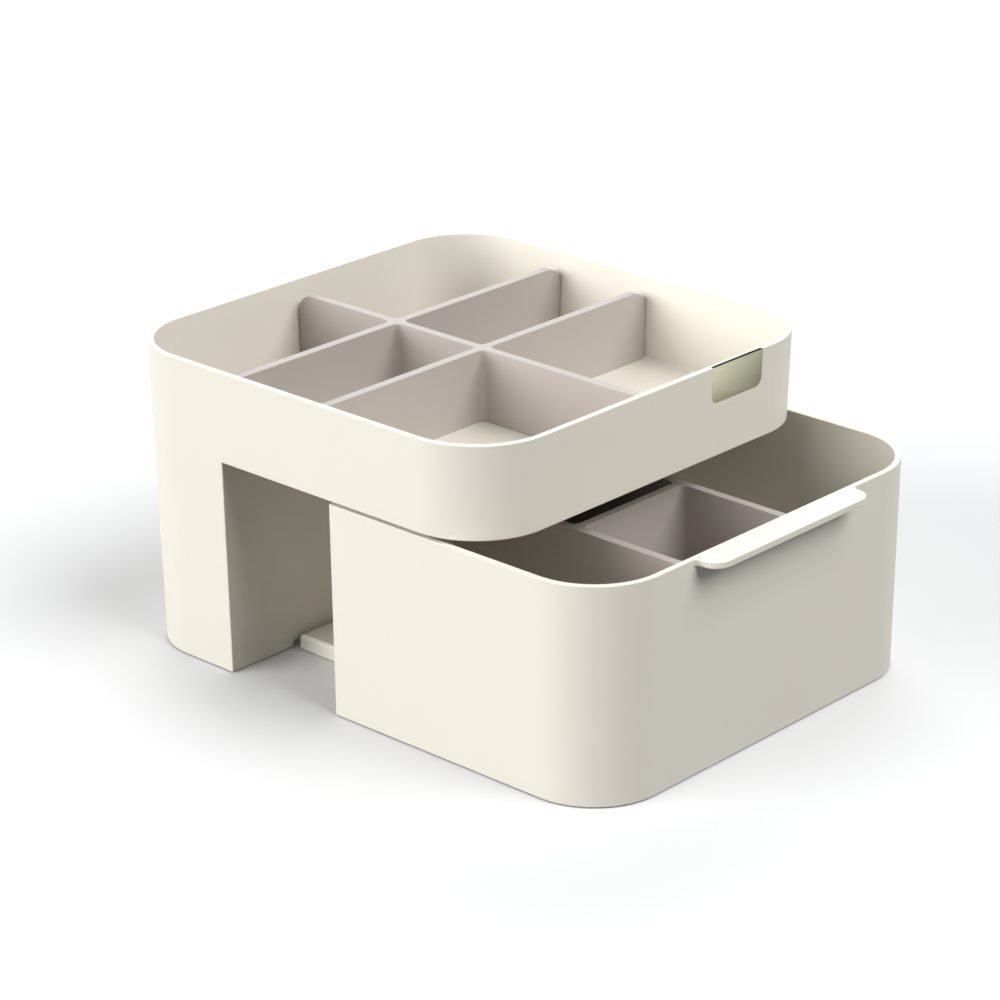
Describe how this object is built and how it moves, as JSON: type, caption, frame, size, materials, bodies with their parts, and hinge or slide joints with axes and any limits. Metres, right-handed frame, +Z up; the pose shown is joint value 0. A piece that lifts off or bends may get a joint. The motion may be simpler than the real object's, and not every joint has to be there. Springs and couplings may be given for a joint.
{
  "type": "cosmetics organizer with drawer",
  "caption": "Desktop cosmetics organizer: a divided tray with rounded corners and deep rear wells on a rear column, and a tabbed drawer that slides out from under the tray.",
  "frame": {"origin": "on the table, under the middle of the whole object with the drawer part open as modelled", "axes": "+X to the right seen from the drawer's front, +Y to the rear, +Z up; the drawer opens towards -Y"},
  "size_m": [0.2, 0.2605, 0.1267],
  "materials": {
    "shell_plastic": "satin moulded, warm cream",
    "divider_plastic": "satin moulded, mauve taupe",
    "badge_metal": "brushed, pale champagne",
    "foot_rubber": "matte",
    "glide_plastic": "smooth low-friction pad",
    "screw_steel": "zinc plated"
  },
  "bodies": {
    "stand": {"housing": "shell_plastic", "base_runner": "shell_plastic", "badge": "badge_metal", "foot_front_left": "foot_rubber", "foot_front_right": "foot_rubber", "foot_rear_left": "foot_rubber", "foot_rear_right": "foot_rubber", "screw_front_left": "screw_steel", "screw_front_right": "screw_steel", "screw_rear_left": "screw_steel", "screw_rear_right": "screw_steel"},
    "drawer_unit": {"drawer": "shell_plastic", "drawer_divider": "divider_plastic", "glide_front_left": "glide_plastic", "glide_front_right": "glide_plastic", "glide_rear_left": "glide_plastic", "glide_rear_right": "glide_plastic"},
    "tray_insert": {"tray_divider": "divider_plastic"}
  },
  "joints": [
    {"name": "drawer_slide", "type": "slide", "parent": "stand", "child": "drawer_unit", "axis": [0, -1, 0], "range_m": [-0.0566, 0.06]},
    {"name": "tray_lift", "type": "slide", "parent": "stand", "child": "tray_insert", "axis": [0, 0, 1], "range_m": [0, 0.04]}
  ]
}
